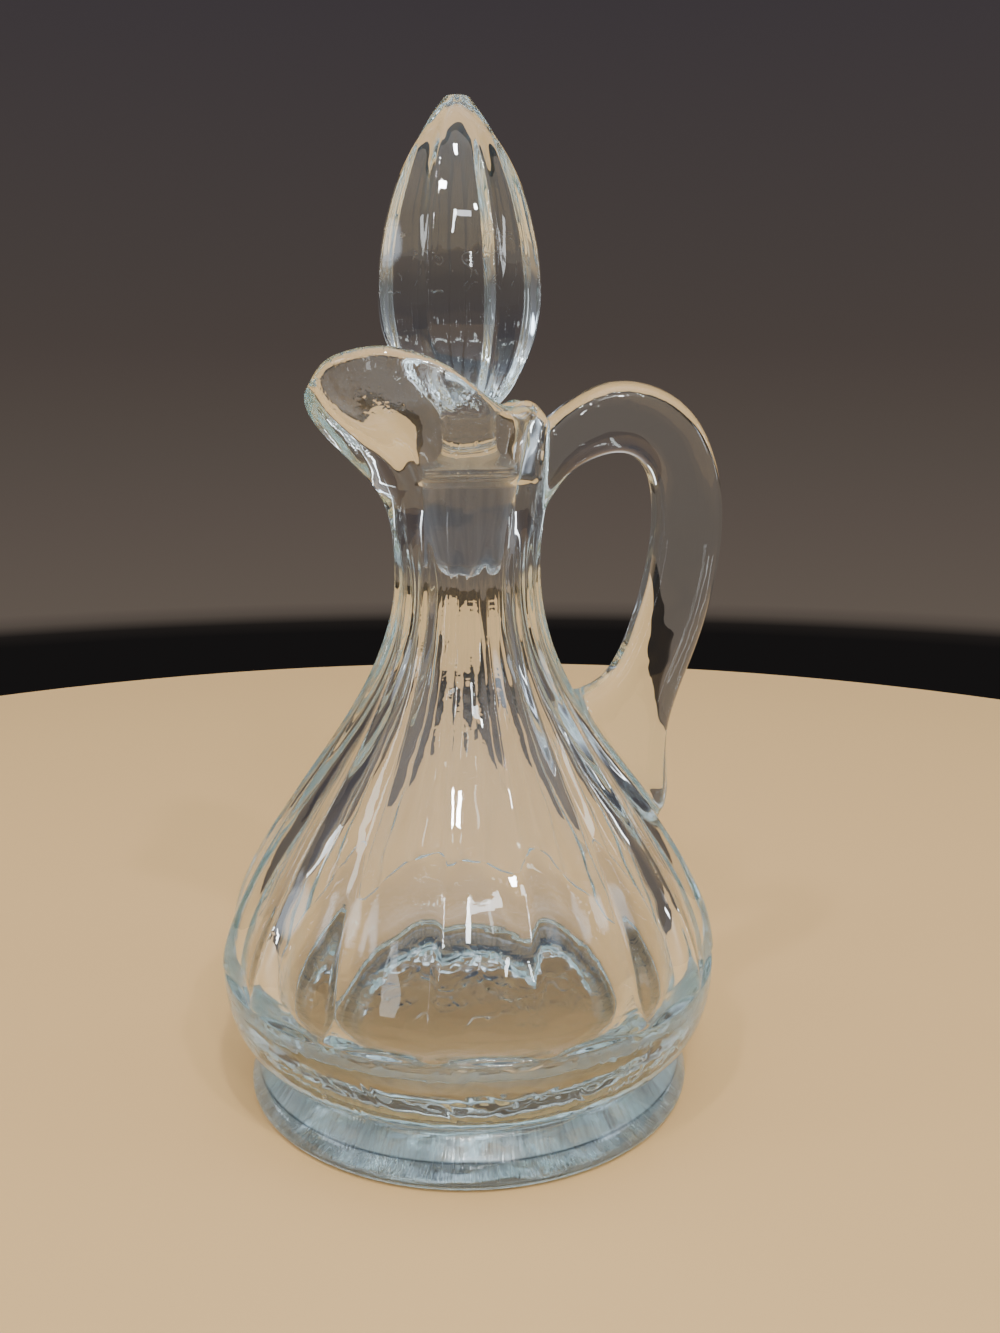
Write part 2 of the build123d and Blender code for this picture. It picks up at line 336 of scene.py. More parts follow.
def along(points, x):
    """Height of a smooth line through a few points."""
    for index in range(len(points) - 1):
        (x1, z1), (x2, z2) = points[index], points[index + 1]
        if x <= x2:
            break
    x0, z0 = points[max(index - 1, 0)]
    x3, z3 = points[min(index + 2, len(points) - 1)]
    share = min(max((x - x1) / (x2 - x1), 0.0), 1.0)
    slope_1 = (z2 - z0) / (x2 - x0) * (x2 - x1)
    slope_2 = (z3 - z1) / (x3 - x1) * (x2 - x1)
    s2, s3 = share ** 2, share ** 3
    start = (2 * s3 - 3 * s2 + 1) * z1 + (s3 - 2 * s2 + share) * slope_1
    return start + (3 * s2 - 2 * s3) * z2 + (s3 - s2) * slope_2


def through(rows, parts):
    """More rows on a smooth line through the given ones."""
    path = []
    for index in range(len(rows) - 1):
        before = rows[max(index - 1, 0)]
        after = rows[min(index + 2, len(rows) - 1)]
        for part in range(parts):
            share = part / parts
            row = []
            for p0, p1, p2, p3 in zip(before, rows[index], rows[index + 1], after):
                square = (2 * p0 - 5 * p1 + 4 * p2 - p3) * share ** 2
                cube = (3 * p1 - p0 - 3 * p2 + p3) * share ** 3
                row.append(p1 + ((p2 - p0) * share + (square + cube)) / 2)
            path.append(tuple(row))
    return path + [rows[-1]]


def drawn_in(height):
    """How far the bowl has drawn in to the neck at this height, from 0 to 1."""
    share = (height - ledge[1]) / (neck_height - ledge[1])
    return ease(max(share, 0.0) ** shoulder_bias)


def outer_side(height):
    """Radius over the ridges, to the sides and towards the handle."""
    bowl = mix(belly_radius, neck_radius, drawn_in(height))
    flare = ease((height - neck_height) / (mouth_level - neck_height))
    return bowl + (mouth_radius - neck_radius) * flare


def outer_reach(height):
    """Distance from the axis to the outside of the spout."""
    share = (height - spout_start) / (spout_level - spout_start)
    return mix(outer_side(height), spout_reach, ease(max(share, 0.0) ** spout_bias))


def wall(height):
    """Thickness of the glass, which has sagged a little under the neck."""
    share = min(max((height - sag_foot) / (neck_height - sag_foot), 0.0), 1.0)
    sag = neck_sag * sin(pi * share ** sag_lean) ** sag_taper
    return mix(belly_wall, neck_wall, drawn_in(height)) + sag


def flute_depth(height):
    """The flutes grow shallow up the bowl and run out under the spout."""
    fade = 1 - ease((height - neck_height) / (spout_start - neck_height))
    return mix(belly_flute_depth, neck_flute_depth, drawn_in(height)) * fade


def plug_side(height):
    """Radius of the plug's taper."""
    share = (height - plug_foot) / (plug_top - plug_foot)
    return mix(plug_foot_radius, plug_radius, share)


def throat_opened(height, full):
    """Distance from the axis to the throat's surface, which opens out to the full one."""
    opened = ease(((height - seat_top) / (throat_top - seat_top)) ** throat_bias)
    return mix(plug_side(seat_top) + seat_clearance + throat_edge, full, opened)


def throat_side(height):
    """Radius of the throat to the sides and towards the handle."""
    return throat_opened(height, outer_side(height) - throat_wall)


def throat_reach(height):
    """Distance from the axis to the throat's surface under the spout."""
    return throat_opened(height, outer_reach(height) - lip_wall)


def start_ring(name, count, radius, height):
    """Adds a ring of vertices and opens it in edit mode."""
    bpy.ops.object.select_all(action="DESELECT")
    bpy.ops.mesh.primitive_circle_add(
        vertices=count, radius=radius * mm, fill_type="NOTHING", location=(0, 0, height * mm)
    )
    piece = bpy.context.active_object
    piece.name = piece.data.name = name
    bpy.ops.object.transform_apply(location=True, rotation=True, scale=True)
    bpy.ops.object.mode_set(mode="EDIT")
    bpy.ops.mesh.select_mode(type="VERT")
    bpy.ops.mesh.select_all(action="SELECT")
    return piece


def draw_rings(rings):
    """Draws the selected ring on through the given radii and heights, as on a lathe."""
    for (radius, height), (next_radius, next_height) in zip(rings, rings[1:]):
        bpy.ops.mesh.extrude_edges_move(
            TRANSFORM_OT_translate={"value": (0, 0, (next_height - height) * mm)}
        )
        scale = next_radius / radius
        bpy.ops.transform.resize(value=(scale, scale, 1), center_override=(0, 0, next_height * mm))


def pick(piece, wanted):
    """Selects the vertices that a test of their number and place allows."""
    mesh = bmesh.from_edit_mesh(piece.data)
    mesh.verts.index_update()
    for vertex in mesh.verts:
        vertex.select = wanted(vertex.index, vertex.co)
    mesh.select_flush_mode()
    bmesh.update_edit_mesh(piece.data)


def column_of(place, count):
    """Number of the column that a vertex stands in, counted from the handle's side."""
    return round(atan2(place.y, place.x) / (2 * pi) * count) % count


def crease(sharpness):
    """Keeps the selected edges crisp when the mesh is rounded off."""
    bpy.ops.mesh.select_mode(type="EDGE")
    bpy.ops.transform.edge_crease(value=sharpness)
    bpy.ops.mesh.select_mode(type="VERT")


def close_ends(piece, last, count):
    """Fills the first and the last ring with a grid of faces."""
    for end in (0, last):
        pick(piece, lambda number, place: number // count == end)
        bpy.ops.mesh.fill_grid(span=count // 4)


def smooth_finish(piece):
    """Closes the seams, turns the faces outwards and rounds the mesh off."""
    bpy.ops.mesh.select_all(action="SELECT")
    bpy.ops.mesh.remove_doubles(threshold=weld_reach * mm)
    bpy.ops.mesh.normals_make_consistent(inside=False)
    bpy.ops.object.mode_set(mode="OBJECT")
    rounding = piece.modifiers.new("rounding", "SUBSURF")
    rounding.levels = rounding.render_levels = levels_of_smoothing
    bpy.ops.object.modifier_apply(modifier="rounding")
    bpy.ops.object.shade_smooth()


def band_rings():
    """The smooth band, curved from the waist to the ledge under the flutes."""
    band = []
    for share in band_shares:
        left = [mix(a, b, share) for a, b in zip(waist, band_belly)]
        right = [mix(a, b, share) for a, b in zip(band_belly, ledge)]
        band.append(tuple(mix(a, b, share) for a, b in zip(left, right)))
    return band + [*ledge_edge]


def cavity_rings():
    """The cavity's side, going down, and its round corner with the floor."""
    side = [
        (outer_side(z) - wall(z), z)
        for z in steps(neck_height, floor_height + cavity_corner_height, 9)
    ]
    corner = []
    for turn in corner_turns:
        out = mix(floor_radius, side[-1][0], sin(radians(turn)))
        corner.append((out, floor_height + cavity_corner_height * (1 - cos(radians(turn)))))
    return side, corner


def bottle_rings():
    """Radius and height of every ring, from under the foot, up outside and down inside."""
    under = [(r, recess_depth * (1 - (r / recess_radius) ** 2)) for r in recess_rings]
    fluted = [*ledge_rings] + steps(bowl_start, neck_height, 10) + [neck_end_level]
    fluted = [(outer_side(z), z) for z in fluted]
    flared = [(outer_side(z), z) for z in steps(spout_start, flare_end, 7)]
    lip = [(mouth_radius - inset, lip_level + rise) for inset, rise in lip_round]
    throat = [(throat_side(z), z) for z in throat_levels]
    seat = [(plug_side(z) + seat_clearance, z) for z in seat_levels]
    bore = neck_radius - neck_wall
    shelf = [
        (mix(seat[-1][0], bore, ease(share)), seat_foot - seat_shelf * share)
        for share in shelf_shares
    ]
    cavity, corner = cavity_rings()
    floor = [(radius, floor_height) for radius in floor_rings]
    rings = []
    marks = {}
    for name, group in (
        ("under", under), ("foot", [*foot_profile]), ("band", band_rings()), ("fluted", fluted),
        ("flared", flared), ("lip", lip), ("throat", throat), ("seat", seat), ("shelf", shelf),
        ("cavity", cavity), ("corner", corner), ("floor", floor),
    ):
        marks[name] = range(len(rings), len(rings) + len(group))
        rings += group
    return rings, marks


def hollow_flutes(piece, rings, marks):
    """Hollows the flutes between their ridges."""
    per_flute = columns // flute_count
    for ring in marks["fluted"]:
        radius, height = rings[ring]
        for offset, share in flute_shape:
            scale = 1 - flute_depth(height) * share / radius
            beside = (offset, (per_flute - offset) % per_flute)
            pick(piece, lambda number, place: number // columns == ring
                 and column_of(place, columns) % per_flute in beside)
            bpy.ops.transform.resize(value=(scale, scale, 1), center_override=(0, 0, height * mm))


def raise_rim(piece, marks):
    """Raises each column of the mouth to the rim's line."""
    outside = range(marks["flared"][0], marks["lip"][0])
    lip = range(marks["lip"][0], marks["lip"][-1])
    inside = range(marks["lip"][-1], marks["throat"][-1] + 1)
    for column in range(columns // 2 + 1):
        turn = 2 * pi * column / columns
        reach = mouth_radius if cos(turn) > 0 else spout_reach
        lift = along(rim_line, cos(turn) * reach) - lip_level
        both = (column, columns - column)
        for span, base, top in (
            (outside, spout_start, lip_level + lip_round[0][1]),
            (inside, seat_top, lip_level + lip_round[-1][1]),
        ):
            scale = 1 + lift / (top - base)
            pick(piece, lambda number, place: number // columns in span
                 and column_of(place, columns) in both)
            bpy.ops.transform.resize(value=(1, 1, scale), center_override=(0, 0, base * mm))
        pick(piece, lambda number, place: number // columns in lip
             and column_of(place, columns) in both)
        bpy.ops.transform.translate(value=(0, 0, lift * mm))


def draw_spout(piece, rings, marks):
    """Draws the spout out of the flare, the lip and the throat."""
    for ring in [*marks["flared"], *marks["lip"], *marks["throat"]]:
        side, height = rings[ring]
        if ring in marks["throat"]:
            reach = throat_reach(height)
        elif ring in marks["lip"]:
            reach = spout_reach - (mouth_radius - side)
        else:
            reach = outer_reach(height)
        pick(piece, lambda number, place: number // columns == ring and place.x < -1e-6)
        bpy.ops.transform.resize(value=(reach / side, 1, 1), center_override=(0, 0, 0))


def make_bottle():
    """Turns the bottle ring by ring, flutes it and draws out its spout."""
    rings, marks = bottle_rings()
    piece = start_ring("cruet_glass", columns, *rings[0])
    draw_rings(rings)
    hollow_flutes(piece, rings, marks)
    raise_rim(piece, marks)
    draw_spout(piece, rings, marks)
    per_flute = columns // flute_count
    pick(piece, lambda number, place: number // columns in marks["fluted"]
         and column_of(place, columns) % per_flute == per_flute // 2)
    crease(ridge_sharpness)

    # Pressed glass is never quite even, least of all inside
    uneven = (
        (marks["fluted"], outer_wobble),
        (marks["flared"], spout_wobble),
        (marks["cavity"][:-1], inner_wobble),
    )
    for span, wobble in uneven:
        pick(piece, lambda number, place: number // columns in span)
        bpy.ops.transform.vertex_random(offset=wobble * mm, normal=1.0, seed=len(span))
    close_ends(piece, len(rings) - 1, columns)
    smooth_finish(piece)
    return piece


def handle_sections():
    """Middle, lean and thickness of the bar from the neck round to its root on the bowl."""
    top = handle_top - handle_thickness / 2
    reach = handle_reach - handle_thickness / 2
    neck_end = (arm_end_reach, arm_end_level - arm_end_height / 2, 90, arm_end_height)
    arm = [
        (mix(neck_radius, reach, share), top - drop, lean, handle_thickness)
        for share, drop, lean in arm_bends
    ]
    bar = [
        (reach - inset, handle_side_level - (handle_side_level - root_level) * share, lean, handle_thickness)
        for share, inset, lean in bar_bends
    ]
    root = []
    for (outer_x, outer_z), (inner_x, inner_z) in root_ends:
        span = hypot(outer_x - inner_x, outer_z - inner_z)
        lean = degrees(atan2(outer_z - inner_z, outer_x - inner_x))
        root.append(((outer_x + inner_x) / 2, (outer_z + inner_z) / 2, lean, span))
    return through([neck_end, *arm, *bar, *root], parts=2)


def place_first_section(piece, x, z, lean, thickness):
    """Shapes the ring into the bar's rounded section and puts it at the neck."""
    for turn, scale in section_swell:
        pick(piece, lambda number, place: abs(degrees(atan2(abs(place.y), abs(place.x))) - turn) < 1)
        bpy.ops.transform.resize(value=(*scale, 1), center_override=(0, 0, 0))
    bpy.ops.mesh.select_all(action="SELECT")
    # Rounding off shrinks a ring, so it starts this much larger
    ring_fit = 6 / (4 + 2 * cos(2 * pi / handle_columns))
    size = (thickness / 2 * ring_fit * mm, handle_width / 2 * ring_fit * mm, 1)
    bpy.ops.transform.resize(value=size, center_override=(0, 0, 0))
    bpy.ops.transform.rotate(value=radians(lean), orient_axis="Y", center_override=(0, 0, 0))
    bpy.ops.transform.translate(value=(x * mm, 0, z * mm))


def make_handle():
    """Draws the bar from the neck round to its root, section by section."""
    sections = handle_sections()
    piece = start_ring("handle_glass", handle_columns, 1 / mm, 0)
    place_first_section(piece, *sections[0])
    for (x, z, lean, thickness), (next_x, next_z, next_lean, next_thickness) in zip(sections, sections[1:]):
        bpy.ops.mesh.extrude_edges_move(
            TRANSFORM_OT_translate={"value": ((next_x - x) * mm, 0, (next_z - z) * mm)}
        )
        middle = (next_x * mm, 0, next_z * mm)
        bpy.ops.transform.rotate(value=radians(next_lean - lean), orient_axis="Y", center_override=middle)
        scale = next_thickness / thickness
        bpy.ops.transform.resize(value=(scale, 1, scale), center_override=middle)
    close_ends(piece, len(sections) - 1, handle_columns)
    smooth_finish(piece)
    return piece


def surface_of(piece):
    """A tree that finds the nearest point on the piece's surface."""
    mesh = bmesh.new()
    mesh.from_mesh(piece.data)
    tree = BVHTree.FromBMesh(mesh)
    mesh.free()
    return tree


def fuse(piece, added):
    """Melts the handle into the bottle, with a soft fillet where they meet."""
    trees = [surface_of(one) for one in (piece, added)]
    bpy.ops.object.select_all(action="DESELECT")
    bpy.context.view_layer.objects.active = piece
    piece.select_set(True)
    joint = piece.modifiers.new("joint", "BOOLEAN")
    joint.operation = "UNION"
    joint.solver = "EXACT"
    joint.object = added
    bpy.ops.object.modifier_apply(modifier="joint")
    bpy.data.objects.remove(added)
    seam = []
    for vertex in piece.data.vertices:
        if all(tree.find_nearest(vertex.co)[3] < seam_reach * mm for tree in trees):
            seam.append(vertex.co)
    near = KDTree(len(seam))
    for number, place in enumerate(seam):
        near.insert(place, number)
    near.balance()
    bpy.ops.object.mode_set(mode="EDIT")
    bpy.ops.mesh.select_mode(type="VERT")
    bpy.ops.mesh.select_all(action="SELECT")
    bpy.ops.mesh.remove_doubles(threshold=seam_merge * mm)
    bpy.ops.mesh.normals_make_consistent(inside=False)
    pick(piece, lambda number, place: near.find(place)[2] < fillet_reach * mm)
    bpy.ops.mesh.vertices_smooth(factor=0.5, repeat=fillet_passes)
    bpy.ops.object.mode_set(mode="OBJECT")
    bpy.ops.object.shade_smooth()


def finial_side(height):
    """Half the finial's width over two opposite panels."""
    if height < finial_level:
        share = (height - shank_height) / (finial_level - shank_height)
        return mix(shank_radius, finial_radius, ease(share ** finial_swell))
    share = (height - finial_level) / (finial_top - finial_level)
    closed = 1 - (finial_tip_radius / finial_radius) ** (1 / finial_bluntness)
    return finial_radius * (1 - closed * share * share) ** finial_bluntness


def stopper_rings():
    """Radius and height of every ring from the plug's end up, and where the finial starts."""
    tip = [(radius, plug_foot + rise) for radius, rise in plug_tip]
    plug = [(plug_side(z), z) for z in steps(*ground_levels, 5)]
    for z in steps(*ring_levels, 5):
        inset = ring_depth * (len(plug) % 2)
        plug.append((plug_side(z) - inset, z))
    lower = [(finial_side(z), z) for z in steps(shank_height, finial_level, 9)[:-1]]
    upper = [(finial_side(z), z) for z in steps(finial_level, point_start, 9)]
    point = [(finial_side(z), z) for z in point_levels] + [*point_round]
    below = tip + plug + [*shoulder_line]
    return below + lower + upper + point, len(below)


def spread_arrises(piece, rings, first):
    """Spreads the arrises of the finial's panels and hollows the panels a little."""
    per_facet = stopper_columns // finial_facets
    for ring in range(first, len(rings) - len(point_round)):
        radius, height = rings[ring]
        faded_in = ease((height - panel_fade_in[0]) / (panel_fade_in[1] - panel_fade_in[0]))
        faded_out = 1 - ease((height - panel_fade_out[0]) / (panel_fade_out[1] - panel_fade_out[0]))
        for offset, hollow in panel_shape:
            turn = 2 * pi / stopper_columns * offset
            full = 1 / cos(turn) - panel_hollow * hollow / radius
            scale = mix(1, full, faded_in * faded_out)
            beside = (offset, (per_facet - offset) % per_facet)
            pick(piece, lambda number, place: number // stopper_columns == ring
                 and column_of(place, stopper_columns) % per_facet in beside)
            bpy.ops.transform.resize(value=(scale, scale, 1), center_override=(0, 0, height * mm))
    pick(piece, lambda number, place: first < number // stopper_columns < len(rings) - arris_end
         and column_of(place, stopper_columns) % per_facet == per_facet // 2)
    crease(arris_sharpness)


def lean_finial(piece, rings):
    """Moves the finial a little off the plug's axis, towards the spout."""
    shares = [ease((height - lean_start) / (lean_end - lean_start)) for radius, height in rings]
    for ring in range(1, len(rings)):
        more = shares[ring] - shares[ring - 1]
        pick(piece, lambda number, place: number // stopper_columns >= ring)
        bpy.ops.transform.translate(value=(-more * finial_lean * mm, 0, 0))


def shape_lobes(piece):
    """Dents the plug's fire-polished end into a few uneven lobes."""
    for column, drop in plug_lobes:
        pick(piece, lambda number, place: 0 < number // stopper_columns < len(plug_tip)
             and (column_of(place, stopper_columns) - column) % stopper_columns < lobe_columns)
        bpy.ops.transform.resize(value=(lobe_inset, lobe_inset, 1), center_override=(0, 0, 0))
        bpy.ops.transform.translate(value=(0, 0, drop * mm))
    pick(piece, lambda number, place: number // stopper_columns < len(plug_tip) - 1)
    bpy.ops.transform.vertex_random(offset=lobe_wobble * mm, uniform=1.0, seed=9)


def make_stopper():
    """Turns the stopper ring by ring, cuts the finial's panels and dents the plug's end."""
    rings, first = stopper_rings()
    piece = start_ring("stopper_crystal", stopper_columns, *rings[0])
    draw_rings(rings)
    spread_arrises(piece, rings, first)
    pick(piece, lambda number, place: first < number // stopper_columns < len(rings) - even_end)
    bpy.ops.transform.vertex_random(offset=finial_wobble * mm, normal=1.0, seed=4)
    lean_finial(piece, rings)
    shape_lobes(piece)
    close_ends(piece, len(rings) - 1, stopper_columns)
    smooth_finish(piece)
    return piece


def add_node(material, kind, **settings):
    """Adds a node with its own settings."""
    node = material.node_tree.nodes.new(kind)
    for name, value in settings.items():
        setattr(node, name, value)
    return node


def link(material, start, end):
    """Leads one node's output to another one's input."""
    material.node_tree.links.new(start, end)


def combine(material, operation, first, second):
    """One value made of two, each a socket or a number."""
    node = add_node(material, "ShaderNodeMath", operation=operation)
    for socket, value in zip(node.inputs, (first, second)):
        if isinstance(value, (int, float)):
            socket.default_value = value
        else:
            link(material, value, socket)
    return node.outputs["Value"]


def times(material, first, second):
    """The product of two values."""
    return combine(material, "MULTIPLY", first, second)


def plus(material, first, second):
    """The sum of two values."""
    return combine(material, "ADD", first, second)


def minus(material, first, second):
    """The first value less the second."""
    return combine(material, "SUBTRACT", first, second)


def fade(material, value, start, end, low=0.0, high=1.0):
    """A value that goes smoothly from low to high as another one goes from start to end."""
    step = add_node(material, "ShaderNodeMapRange", interpolation_type="SMOOTHSTEP")
    for name, setting in (("From Min", start), ("From Max", end), ("To Min", low), ("To Max", high)):
        step.inputs[name].default_value = setting
    link(material, value, step.inputs["Value"])
    return step.outputs["Result"]


def object_place(material):
    """Where a point of the piece lies, in metres."""
    return add_node(material, "ShaderNodeTexCoord").outputs["Object"]


def place_parts(material):
    """The X, Y and Z of a point of the piece."""
    parts = add_node(material, "ShaderNodeSeparateXYZ")
    link(material, object_place(material), parts.inputs["Vector"])
    return parts.outputs


def height_mask(material, start, end, low, high):
    """A value that goes from low to high between two heights of the piece, in millimetres."""
    return fade(material, place_parts(material)["Z"], start * mm, end * mm, low, high)


def distance_mask(material, start, end):
    """A value that goes from 0 to 1 between two distances from the piece's axis, in millimetres."""
    flat = add_node(material, "ShaderNodeVectorMath", operation="MULTIPLY")
    flat.inputs[1].default_value = (1, 1, 0)
    far = add_node(material, "ShaderNodeVectorMath", operation="LENGTH")
    link(material, object_place(material), flat.inputs[0])
    link(material, flat.outputs["Vector"], far.inputs[0])
    return fade(material, far.outputs["Value"], start * mm, end * mm)


def round_the_axis(material, radius):
    """A vector with the way round the piece at a radius in millimetres, and its height."""
    parts = place_parts(material)
    joined = add_node(material, "ShaderNodeCombineXYZ")
    turn = combine(material, "ARCTAN2", parts["Y"], parts["X"])
    link(material, times(material, turn, radius * mm), joined.inputs["X"])
    link(material, parts["Z"], joined.inputs["Z"])
    return joined.outputs["Vector"]


def speckle(material, size, stretch, low, high, detail=2.0, place=None):
    """Noise between 0 and 1, its grain's size in millimetres along X, Y and Z."""
    place = place or object_place(material)
    fit = add_node(material, "ShaderNodeMapping")
    fit.inputs["Scale"].default_value = [1 / (size * part * mm) for part in stretch]
    noise = add_node(material, "ShaderNodeTexNoise")
    noise.inputs["Scale"].default_value = 1.0
    noise.inputs["Detail"].default_value = detail
    spread = add_node(material, "ShaderNodeMapRange")
    spread.inputs["From Min"].default_value = low
    spread.inputs["From Max"].default_value = high
    link(material, place, fit.inputs["Vector"])
    link(material, fit.outputs["Vector"], noise.inputs["Vector"])
    link(material, noise.outputs["Fac"], spread.inputs["Value"])
    return spread.outputs["Result"]


def ripples(material, size, height):
    """Broad waves of the mould, and patches of the fine level wrinkles that chilled glass has."""
    broad = speckle(material, size, (1, 1, 1.3), 0.15, 0.85, 1.0)
    fine = speckle(material, size * wrinkle_size, (6, 6, 1), 0.15, 0.85, 1.5)
    patch = speckle(material, size * patch_size, (1, 1, 1), 0.46, 0.62, 1.0)
    high = height_mask(material, *smooth_levels, 0.0, 1.0)
    handle = times(material, high, distance_mask(material, *smooth_reach))
    patch = times(material, patch, minus(material, 1.0, handle))
    fine = times(material, times(material, fine, patch), height * wrinkle_height)
    return plus(material, times(material, broad, height), fine)


def contours(material, size, count, height):
    """Lines that wander like the level lines of a map, raised to a height."""
    broad = speckle(material, size, (1, 1, 1), 0.0, 1.0, 1.0)
    wave = combine(material, "SINE", times(material, broad, count * pi), 0)
    return times(material, times(material, plus(material, wave, 1.0), 0.5), height)


def cavity_floor_waves(material):
    """The uneven floor of the cavity, its height in millimetres."""
    low = height_mask(material, *floor_levels, 1.0, 0.0)
    inner = minus(material, 1.0, distance_mask(material, *floor_edge))
    size, height = floor_wave
    waves = times(material, speckle(material, size, (1, 1, 1), 0.2, 0.8, 1.0), height)
    waves = plus(material, waves, contours(material, *floor_contours))
    return times(material, times(material, low, inner), waves)


def band_swirls(material):
    """Fine swirls pressed into the smooth band, their height in millimetres."""
    above = height_mask(material, waist[1], waist[1] + band_fade, 0.0, 1.0)
    below = height_mask(material, ledge[1] - band_fade, ledge[1], 1.0, 0.0)
    return times(material, times(material, above, below), contours(material, *band_contours))


def grain(material):
    """Small chill marks that catch the light as specks, their height in millimetres."""
    return times(material, speckle(material, grain_size, (1, 1, 1.4), 0.55, 0.75, 1.0), grain_height)


def seam_line(material):
    """The mould's seam at the front and back, its height in millimetres."""
    off = minus(material, place_parts(material)["X"], seam_place * mm)
    off = combine(material, "ABSOLUTE", off, 0)
    return times(material, combine(material, "LESS_THAN", off, seam_width / 2 * mm), seam_height)


def scratches(material, start, end):
    """Thin wandering lines between two heights of the piece, worn in where things rub it."""
    wander = speckle(material, scratch_size, (1, 1, 1), 0.0, 1.0, 3.0)
    line = combine(material, "ABSOLUTE", minus(material, wander, scratch_level), 0)
    line = combine(material, "LESS_THAN", line, scratch_width)
    gaps = speckle(material, scratch_gap_size, (1, 1, 1), 0.0, 1.0)
    line = times(material, line, combine(material, "GREATER_THAN", gaps, 0.5))
    low = height_mask(material, start, start + 1, 0.0, 1.0)
    high = height_mask(material, end - 1, end, 1.0, 0.0)
    return times(material, line, times(material, low, high))


def shader_of(material):
    """The node that says how the surface looks."""
    return material.node_tree.nodes["Principled BSDF"]


def raise_surface(material, height):
    """Bumps the surface by a height in millimetres, from a socket."""
    bump = add_node(material, "ShaderNodeBump")
    bump.inputs["Strength"].default_value = 1.0
    bump.inputs["Distance"].default_value = mm
    link(material, height, bump.inputs["Height"])
    link(material, bump.outputs["Normal"], shader_of(material).inputs["Normal"])


def tint_surface(material, share, colour, frost_and_painted_light):
    """Paints a colour into the surface where the share is 1, and lets it scatter some of the light there: a
    painted glow on the foot, painted shade on the plug.
    """
    shader = shader_of(material)
    shade = add_node(material, "ShaderNodeMix", data_type="RGBA")
    shade.inputs[6].default_value = (1, 1, 1, 1)
    shade.inputs[7].default_value = colour
    link(material, share, shade.inputs[0])
    link(material, shade.outputs[2], shader.inputs["Base Color"])
    clear = minus(material, 1.0, times(material, share, frost_and_painted_light))
    link(material, clear, shader.inputs["Transmission Weight"])


def shade_surface(material, share, colour):
    """Mixes another colour into the surface's own where the share is 1."""
    base = shader_of(material).inputs["Base Color"]
    shade = add_node(material, "ShaderNodeMix", data_type="RGBA")
    shade.inputs[7].default_value = colour
    link(material, share, shade.inputs[0])
    link(material, base.links[0].from_socket, shade.inputs[6])
    link(material, shade.outputs[2], base)


def plain(name, colour, roughness):
    """A paint of one colour."""
    material = bpy.data.materials.new(name)
    material.use_nodes = True
    shader = shader_of(material)
    shader.inputs["Base Color"].default_value = (*colour, 1)
    shader.inputs["Roughness"].default_value = roughness
    return material


def glass(name):
    """Clear pressed glass, a little green-blue where it is thick."""
    material = plain(name, (1, 1, 1), 0.0)
    shader = shader_of(material)
    shader.inputs["Transmission Weight"].default_value = 1.0
    shader.inputs["IOR"].default_value = glass_ior
    tint = add_node(material, "ShaderNodeVolumeAbsorption")
    tint.inputs["Color"].default_value = glass_tint
    tint.inputs["Density"].default_value = glass_tint_density
    link(material, tint.outputs["Volume"], material.node_tree.nodes["Material Output"].inputs["Volume"])
    return material


def streaked(material, streaks, share):
    """A value of 1 in the streaks, and less by a share between them."""
    return plus(material, times(material, streaks, share), 1.0 - share)


def foot_frost_and_glow(material, foot, lines):
    """How frosted each place of the foot is, and how much painted cyan-white glow it gets: in fine upright
    lines, and less on its side, so its slope is painted brighter as if lit from above.
    """
    marks = streaked(material, lines, foot_line_share)
    slope = height_mask(material, *slope_levels, foot_side_share, 1.0)
    return times(material, foot, times(material, marks, slope))


def foot_shadows(material, foot):
    """Dark streaks of the foot, and thin dark lines at its edges."""
    streaks = speckle(
        material, foot_streak, (1, 1, 6), 0.42, 0.7, 2.0, round_the_axis(material, foot_radius)
    )
    shadow = times(material, streaks, height_mask(material, *shadow_levels, *foot_shadow))
    for level, width, depth in foot_creases:
        above = height_mask(material, level - width, level, 0.0, depth)
        below = height_mask(material, level, level + width, 1.0, 0.0)
        shadow = combine(material, "MAXIMUM", shadow, times(material, above, below))
    return times(material, shadow, foot)


def bottle_finish():
    """Clear and wavy, with a frosted, finely lined foot where the mould and the table marked it, a painted
    glow on the foot's slope and painted shadow lines at its edges.
    """
    material = glass("bottle_glass")
    foot = height_mask(material, *foot_levels, 1.0, 0.0)
    foot = times(material, foot, distance_mask(material, *foot_edge))
    line_size, line_height = foot_line
    lines = speckle(
        material, line_size, (1, 1, 9), 0.3, 0.7, 2.0, round_the_axis(material, foot_radius)
    )
    frost_and_painted_light = foot_frost_and_glow(material, foot, lines)
    link(material, times(material, frost_and_painted_light, foot_roughness), shader_of(material).inputs["Roughness"])
    # Painted glow: cyan-white colour in place of some clearness makes the foot's slope look lit from above
    tint_surface(material, frost_and_painted_light, foot_frost_glow_colour, foot_frost_glow)
    shade_surface(material, foot_shadows(material, foot), foot_shadow_colour)
    relief = plus(material, times(material, lines, line_height), seam_line(material))
    raised = plus(material, ripples(material, *bottle_wave), times(material, relief, foot))
    rim = height_mask(material, *rim_levels, 0.0, 1.0)
    raised = plus(material, raised, times(material, grain(material), rim))
    raised = plus(material, raised, cavity_floor_waves(material))
    raised = plus(material, raised, band_swirls(material))
    raise_surface(material, raised)
    return material


def ground_area(material):
    """The plug's ground glass, streaked with upright bands, and its less ground rings above."""
    lower = height_mask(material, *ground_foot, 0.0, 1.0)
    upper = height_mask(material, *ground_edge, 1.0, ring_share)
    top = height_mask(material, *ring_edge, 1.0, 0.0)
    ground = times(material, lower, times(material, upper, top))
    bands = speckle(
        material, plug_band, (1, 1, 14), 0.3, 0.7, 2.0, round_the_axis(material, plug_radius)
    )
    return times(material, ground, streaked(material, bands, plug_band_share))


